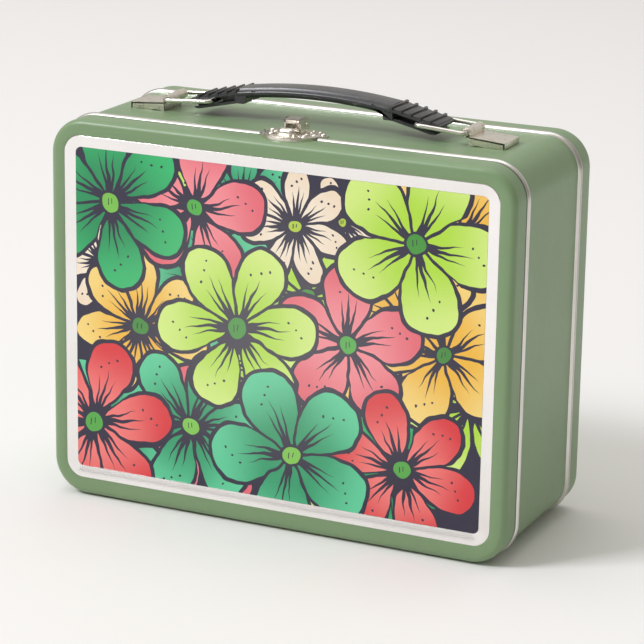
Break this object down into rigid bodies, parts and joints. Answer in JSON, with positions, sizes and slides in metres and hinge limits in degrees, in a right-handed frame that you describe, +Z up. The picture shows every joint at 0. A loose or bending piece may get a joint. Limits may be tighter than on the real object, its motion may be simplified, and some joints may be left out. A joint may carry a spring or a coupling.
{
  "type": "metal lunch box",
  "caption": "Upright tin lunch case: painted band and covers with bare rim beads, printed front panel, bottom-hinged lid, snap latch, moulded carrying handle on sliding wire loops.",
  "frame": {"origin": "middle of the underside of the closed, standing case", "axes": "+X to the right seen from the front, +Y to the rear, +Z up; the front lid faces -Y"},
  "size_m": [0.2196, 0.089, 0.1886],
  "materials": {
    "case_paint": "satin sage green enamel on tinplate",
    "rim_steel": "bright rolled steel",
    "panel_tin": "bright bare tinplate",
    "panel_print": "printed flower pattern, semi-gloss",
    "nickel": "dull nickel plate",
    "hinge_steel": "plated sheet steel",
    "loop_wire": "bright plated wire",
    "grip_plastic": "semi-gloss black moulded plastic"
  },
  "bodies": {
    "case": {"body_band": "case_paint", "rear_cover": "case_paint", "rear_rim_bead": "rim_steel", "hinge_leaf_case_left": "hinge_steel", "hinge_leaf_case_right": "hinge_steel", "hinge_pin_left": "hinge_steel", "hinge_pin_right": "hinge_steel", "handle_bracket_left": "nickel", "handle_bracket_right": "nickel", "latch_base": "nickel", "latch_base_rivets": "nickel", "latch_pin": "nickel"},
    "lid": {"front_cover": "case_paint", "front_rim_bead": "rim_steel", "front_panel_tray": "panel_tin", "front_art_plate": "panel_print", "hinge_leaf_lid_left": "hinge_steel", "hinge_leaf_lid_right": "hinge_steel", "latch_catch": "nickel", "latch_catch_rivets": "nickel"},
    "latch": {"latch_strap": "nickel"},
    "handle": {"handle_grip": "grip_plastic"},
    "loop_left": {"handle_wire_left": "loop_wire"},
    "loop_right": {"handle_wire_right": "loop_wire"}
  },
  "joints": [
    {"name": "lid_hinge", "type": "hinge", "parent": "case", "child": "lid", "pos_m": [0, -0.0289, 0.001], "axis": [1, 0, 0], "range_deg": [0, 110]},
    {"name": "latch_hinge", "type": "hinge", "parent": "case", "child": "latch", "pos_m": [0, -0.022, 0.1758], "axis": [-1, 0, 0], "range_deg": [0, 100]},
    {"name": "handle_lift", "type": "slide", "parent": "case", "child": "handle", "axis": [0, 0, 1], "range_m": [0, 0.014]},
    {"name": "loop_right_hinge", "type": "hinge", "parent": "case", "child": "loop_right", "pos_m": [0.0712, 0, 0.1769], "axis": [0, 1, 0], "range_deg": [0, 35.3]},
    {"name": "loop_left_hinge", "type": "hinge", "parent": "case", "child": "loop_left", "pos_m": [-0.0712, 0, 0.1769], "axis": [0, -1, 0], "range_deg": [0, 35.3]}
  ],
  "couplings": [
    {"joint": "loop_right_hinge", "follows": "handle_lift", "rad_per_m": 43.89},
    {"joint": "loop_left_hinge", "follows": "handle_lift", "rad_per_m": 43.89}
  ]
}
